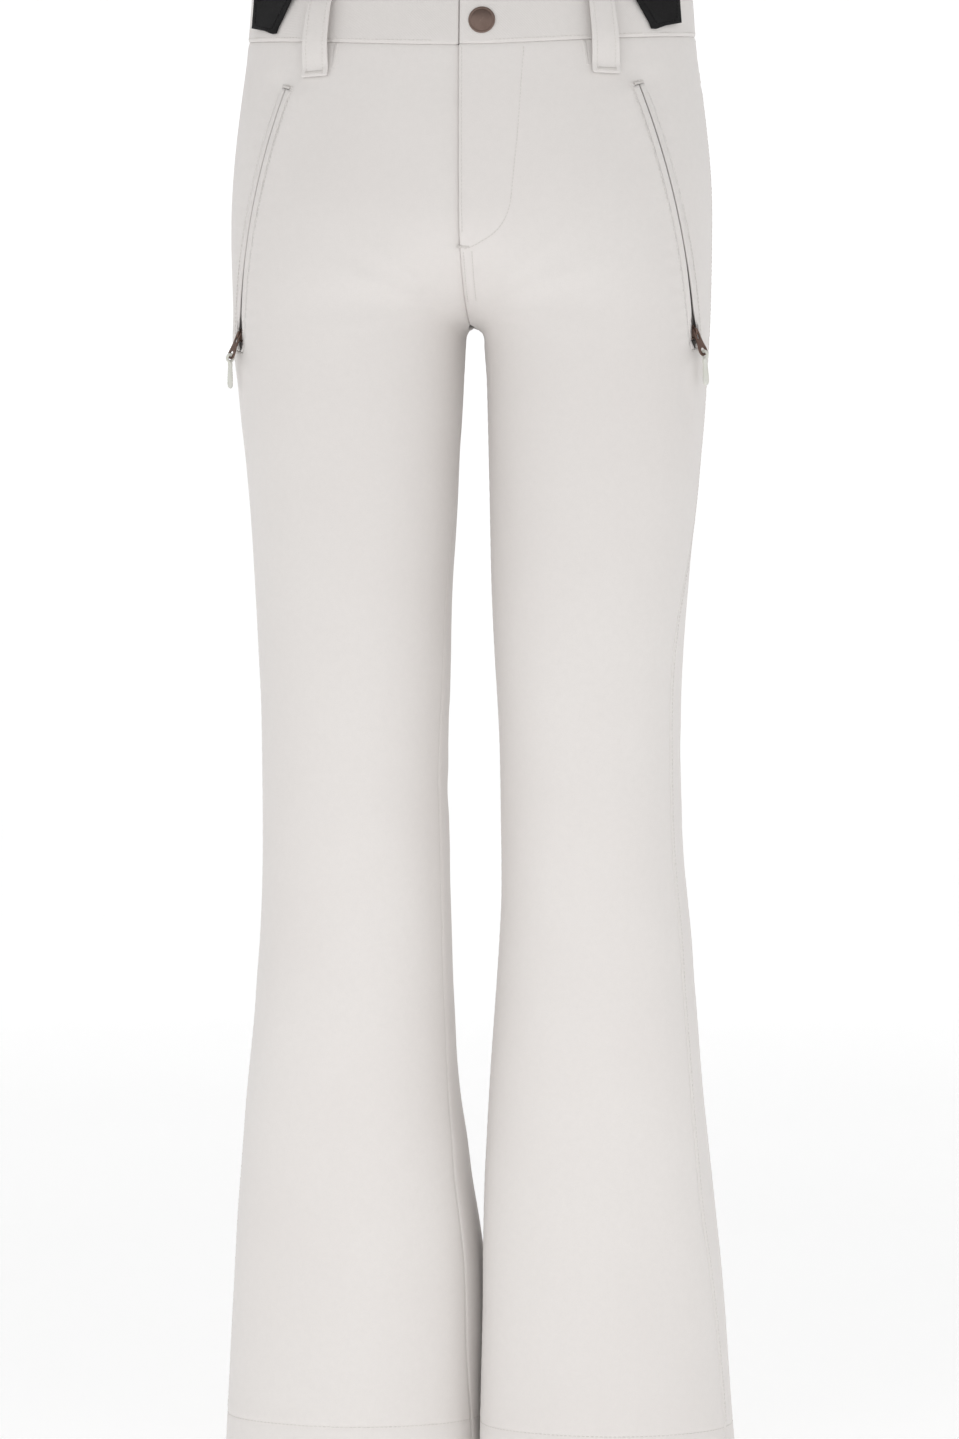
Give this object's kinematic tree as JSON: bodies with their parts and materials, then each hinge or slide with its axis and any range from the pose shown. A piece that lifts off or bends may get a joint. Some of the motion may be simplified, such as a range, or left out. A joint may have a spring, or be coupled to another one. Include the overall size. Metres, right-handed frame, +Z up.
{
  "type": "ski pants",
  "caption": "Flared softshell ski pants with zipped hand pockets, zip fly with snap tab, belt loops and dropped elastic braces, standing as if worn.",
  "frame": {"origin": "on the floor under the middle of the garment's outer box", "axes": "+Z up from the hems to the waist, -Y is the front of the garment, +X is the wearer's left side"},
  "size_m": [0.3718, 0.2231, 1.078],
  "materials": {
    "softshell": "matt bonded softshell, fine weave",
    "lining_fabric": "soft brushed lining",
    "zip_coil": "dyed coil",
    "zip_tape": "woven tape",
    "puller_rubber": "soft moulded pull",
    "adjuster_metal": "satin",
    "brace_webbing": "ribbed elastic",
    "label_fabric": "satin weave, blank",
    "snap_metal": "dark bronze, polished",
    "zip_metal": "dark bronze"
  },
  "bodies": {
    "garment": {"front_panel_left": "softshell", "back_panel_left": "softshell", "back_yoke_left": "softshell", "pocket_lip_outer_left": "softshell", "pocket_lip_inner_left": "softshell", "pocket_zip_coil_left": "zip_coil", "pocket_zip_tape_left": "zip_tape", "pocket_zip_stop_left": "zip_metal", "pocket_bag_left": "lining_fabric", "hem_facing_left": "softshell", "front_panel_right": "softshell", "back_panel_right": "softshell", "back_yoke_right": "softshell", "pocket_lip_outer_right": "softshell", "pocket_lip_inner_right": "softshell", "pocket_zip_coil_right": "zip_coil", "pocket_zip_tape_right": "zip_tape", "pocket_zip_stop_right": "zip_metal", "pocket_bag_right": "lining_fabric", "hem_facing_right": "softshell", "waistband_front_left": "softshell", "waistband_front_right": "softshell", "waistband_back": "softshell", "waist_elastic": "zip_tape", "waistband_facing": "lining_fabric", "waistband_underlap": "softshell", "snap_stud": "snap_metal", "snap_post": "snap_metal", "fly_zip_coil": "zip_coil", "fly_zip_tape": "zip_tape", "fly_shield": "softshell", "fly_bottom_stop": "zip_metal", "fly_facing": "softshell", "belt_loop_front_left": "softshell", "belt_loop_back_left": "softshell", "belt_loop_front_right": "softshell", "belt_loop_back_right": "softshell", "belt_loop_back_centre": "softshell", "brace_strap_left": "brace_webbing", "brace_adjuster_left": "adjuster_metal", "brace_strap_right": "brace_webbing", "brace_adjuster_right": "adjuster_metal", "brace_anchor_patch": "brace_webbing", "size_label": "label_fabric"},
    "waist_tab": {"waistband_tab": "softshell", "snap_cap": "snap_metal", "snap_socket": "snap_metal"},
    "fly_zip_slider": {"fly_slider": "zip_metal", "fly_pull": "zip_metal"},
    "left_pocket_slider": {"pocket_slider_left": "zip_metal"},
    "left_pocket_tab": {"pocket_pull_left": "zip_metal"},
    "left_pocket_cord": {"pocket_cord_pull_left": "puller_rubber"},
    "right_pocket_slider": {"pocket_slider_right": "zip_metal"},
    "right_pocket_tab": {"pocket_pull_right": "zip_metal"},
    "right_pocket_cord": {"pocket_cord_pull_right": "puller_rubber"}
  },
  "joints": [
    {"name": "waist_tab_open", "type": "hinge", "parent": "garment", "child": "waist_tab", "pos_m": [0.03324, -0.10744, 1.02406], "axis": [-0.0013, 0.1046, 0.9945], "range_deg": [0, 50]},
    {"name": "fly_zip_open", "type": "hinge", "parent": "garment", "child": "fly_zip_slider", "pos_m": [0.01503, 0.39358, 0.9469], "axis": [1, 0, 0], "range_deg": [0, 12.8]},
    {"name": "left_pocket_zip", "type": "hinge", "parent": "garment", "child": "left_pocket_slider", "pos_m": [-0.20164, 0.19915, 0.87073], "axis": [-0.5813, -0.7653, -0.2764], "range_deg": [0, 21.57]},
    {"name": "left_pull_tab", "type": "hinge", "parent": "left_pocket_slider", "child": "left_pocket_tab", "pos_m": [0.15971, -0.05273, 0.80826], "axis": [-0.5813, -0.7653, -0.2764], "range_deg": [0, 80]},
    {"name": "left_cord_pull", "type": "hinge", "parent": "left_pocket_tab", "child": "left_pocket_cord", "pos_m": [0.16627, -0.05155, 0.79121], "axis": [-0.5813, -0.7653, -0.2764], "range_deg": [0, 60]},
    {"name": "right_pocket_zip", "type": "hinge", "parent": "garment", "child": "right_pocket_slider", "pos_m": [0.19724, 0.20229, 0.87154], "axis": [-0.5835, 0.7631, 0.278], "range_deg": [0, 21.44]},
    {"name": "right_pull_tab", "type": "hinge", "parent": "right_pocket_slider", "child": "right_pocket_tab", "pos_m": [-0.16563, -0.05214, 0.80825], "axis": [-0.5835, 0.7631, 0.278], "range_deg": [0, 80]},
    {"name": "right_cord_pull", "type": "hinge", "parent": "right_pocket_tab", "child": "right_pocket_cord", "pos_m": [-0.1722, -0.05096, 0.79121], "axis": [-0.5835, 0.7631, 0.278], "range_deg": [0, 60]}
  ]
}
